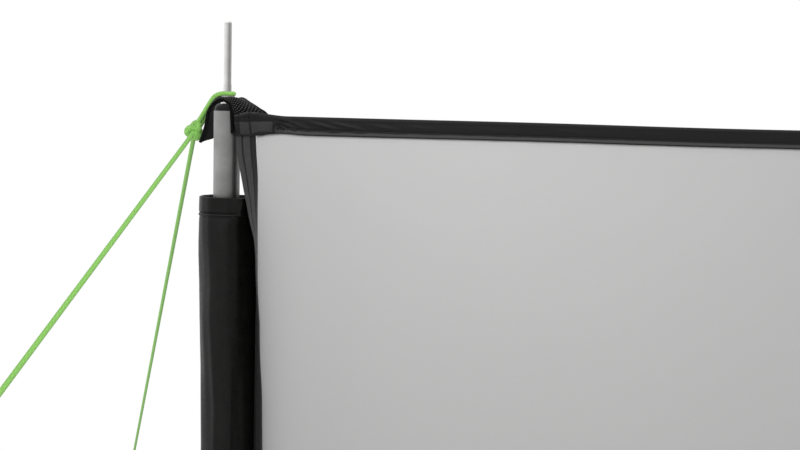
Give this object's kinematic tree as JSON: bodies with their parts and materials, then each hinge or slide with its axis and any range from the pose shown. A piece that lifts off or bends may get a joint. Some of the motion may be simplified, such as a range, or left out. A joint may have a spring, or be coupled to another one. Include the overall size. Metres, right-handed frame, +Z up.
{
  "type": "beach windbreak",
  "caption": "Free-standing cloth windbreak: pale panels with dark taped edges sleeved on steel poles, with spiked tops, webbing corner straps and guy lines to ground pegs.",
  "frame": {"origin": "centre of the underside of the left-hand pole's foot, at ground level", "axes": "+X along the run of cloth from the left-hand pole, +Y to the back, +Z up the poles"},
  "size_m": [6.13, 4.2069, 1.4639],
  "materials": {
    "pole_steel": "satin galvanised",
    "zinc_steel": "bright zinc plated",
    "black_plastic": "satin",
    "sleeve_cloth": "coated woven polyester",
    "panel_cloth": "fine woven polyester",
    "hem_tape": "folded woven tape",
    "side_tape": "woven tape",
    "webbing": "coarse woven webbing",
    "guy_line": "braided cord",
    "eyelet_metal": "nickel plated",
    "runner_plastic": "moulded",
    "peg_steel": "galvanised"
  },
  "bodies": {
    "root": {"tube_1": "pole_steel", "tube_2": "pole_steel", "tube_3": "pole_steel", "tube_4": "pole_steel", "cap_1": "black_plastic", "cap_2": "black_plastic", "cap_3": "black_plastic", "cap_4": "black_plastic", "spike_1": "zinc_steel", "spike_2": "zinc_steel", "spike_3": "zinc_steel", "spike_4": "zinc_steel", "feet": "black_plastic", "sleeve_1": "sleeve_cloth", "sleeve_2": "sleeve_cloth", "sleeve_3": "sleeve_cloth", "sleeve_4": "sleeve_cloth", "strap_1": "webbing", "strap_2": "webbing", "strap_3": "webbing", "strap_4": "webbing", "eyelets": "eyelet_metal", "panel_1": "panel_cloth", "panel_2": "panel_cloth", "panel_3": "panel_cloth", "top_hem_1": "hem_tape", "top_hem_2": "hem_tape", "top_hem_3": "hem_tape", "bottom_hem_1": "hem_tape", "bottom_hem_2": "hem_tape", "bottom_hem_3": "hem_tape", "side_tapes_1": "side_tape", "side_tapes_2": "side_tape", "side_tapes_3": "side_tape", "guy_loop_1": "guy_line", "guy_loop_2": "guy_line", "guy_loop_3": "guy_line", "guy_loop_4": "guy_line", "guy_legs_1": "guy_line", "guy_legs_2": "guy_line", "guy_legs_3": "guy_line", "guy_legs_4": "guy_line", "runners": "runner_plastic", "pegs": "peg_steel"}
  },
  "joints": []
}
